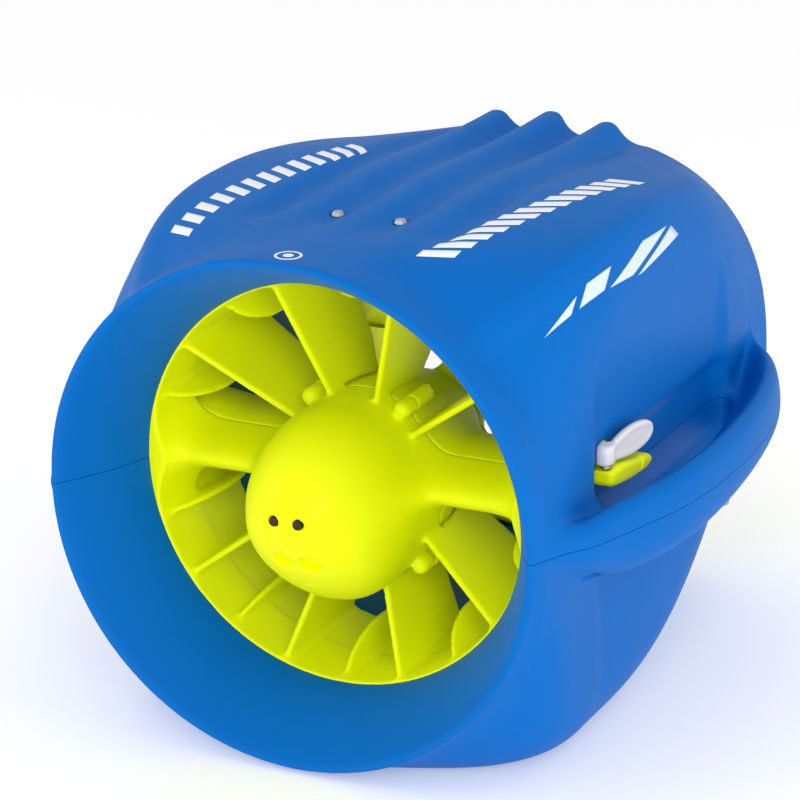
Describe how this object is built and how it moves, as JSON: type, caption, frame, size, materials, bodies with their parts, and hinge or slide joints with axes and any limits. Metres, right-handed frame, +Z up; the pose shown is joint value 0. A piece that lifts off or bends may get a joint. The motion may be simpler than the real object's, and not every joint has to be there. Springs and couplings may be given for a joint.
{
  "type": "underwater scooter",
  "caption": "Ducted pull-along underwater scooter: rounded hull, two grip loops with thumb triggers, finned front guard around a battery pod, propeller behind it.",
  "frame": {"origin": "middle of the overall box, in plan, at the planed underside of the hull", "axes": "+Z up, +X across the two grip loops, +Y from the intake to the outlet along the thrust axis"},
  "size_m": [0.3282, 0.306, 0.2512],
  "materials": {
    "blue_shell": "satin moulded plastic",
    "yellow_guard": "satin moulded plastic",
    "white_paddle": "satin moulded plastic",
    "steel": "satin",
    "brass": "satin",
    "rubber": "matte",
    "foam": "closed-cell foam",
    "cell": "shrink-wrapped can",
    "board": "lacquered board",
    "black_plastic": "matte",
    "magnet": "plated"
  },
  "bodies": {
    "hull": {"upper_shell": "blue_shell", "lower_shell": "blue_shell", "upper_float": "foam", "lower_float": "foam", "hull_screw_1": "steel", "hull_screw_2": "steel", "hull_screw_3": "steel", "hull_screw_4": "steel", "hull_screw_5": "steel", "hull_screw_6": "steel", "top_screw_right": "steel", "top_screw_left": "steel", "front_guard": "yellow_guard", "pod_rear": "yellow_guard", "pod_seal": "rubber", "pod_screw_1": "steel", "pod_screw_2": "steel", "pod_screw_3": "steel", "pod_screw_4": "steel", "charge_contact_right": "brass", "charge_contact_left": "brass", "battery_cell_1": "cell", "battery_cell_2": "cell", "battery_cell_3": "cell", "battery_cell_4": "cell", "battery_cell_5": "cell", "battery_cell_6": "cell", "battery_holder_front": "black_plastic", "battery_holder_rear": "black_plastic", "control_board": "board", "motor": "steel", "motor_mount": "black_plastic", "shaft_bearing": "steel", "shaft_seal": "rubber", "rear_guard": "yellow_guard", "rear_screw_1": "steel", "rear_screw_2": "steel", "rear_screw_3": "steel", "rear_screw_4": "steel", "trigger_base_right": "yellow_guard", "trigger_pin_right": "steel", "trigger_spring_right": "steel", "trigger_switch_right": "black_plastic", "switch_lead_right": "rubber", "trigger_base_left": "yellow_guard", "trigger_pin_left": "steel", "trigger_spring_left": "steel", "trigger_switch_left": "black_plastic", "switch_lead_left": "rubber"},
    "propeller": {"propeller": "yellow_guard", "propeller_shaft": "steel", "drive_pin": "steel", "prop_nut": "steel"},
    "trigger_right": {"trigger_paddle_right": "white_paddle", "trigger_magnet_right": "magnet"},
    "trigger_left": {"trigger_paddle_left": "white_paddle", "trigger_magnet_left": "magnet"}
  },
  "joints": [
    {"name": "propeller_spin", "type": "hinge", "parent": "hull", "child": "propeller", "pos_m": [0, 0.028, 0.127], "axis": [0, 1, 0], "continuous": true},
    {"name": "trigger_right_squeeze", "type": "hinge", "parent": "hull", "child": "trigger_right", "pos_m": [0.1245, -0.069, 0.1494], "axis": [0, 0, 1], "range_deg": [0, 9], "stiffness_Nm_per_rad": 0.06, "springref_deg": -8.59},
    {"name": "trigger_left_squeeze", "type": "hinge", "parent": "hull", "child": "trigger_left", "pos_m": [-0.1245, -0.069, 0.1494], "axis": [0, 0, -1], "range_deg": [0, 9], "stiffness_Nm_per_rad": 0.06, "springref_deg": -8.59}
  ]
}
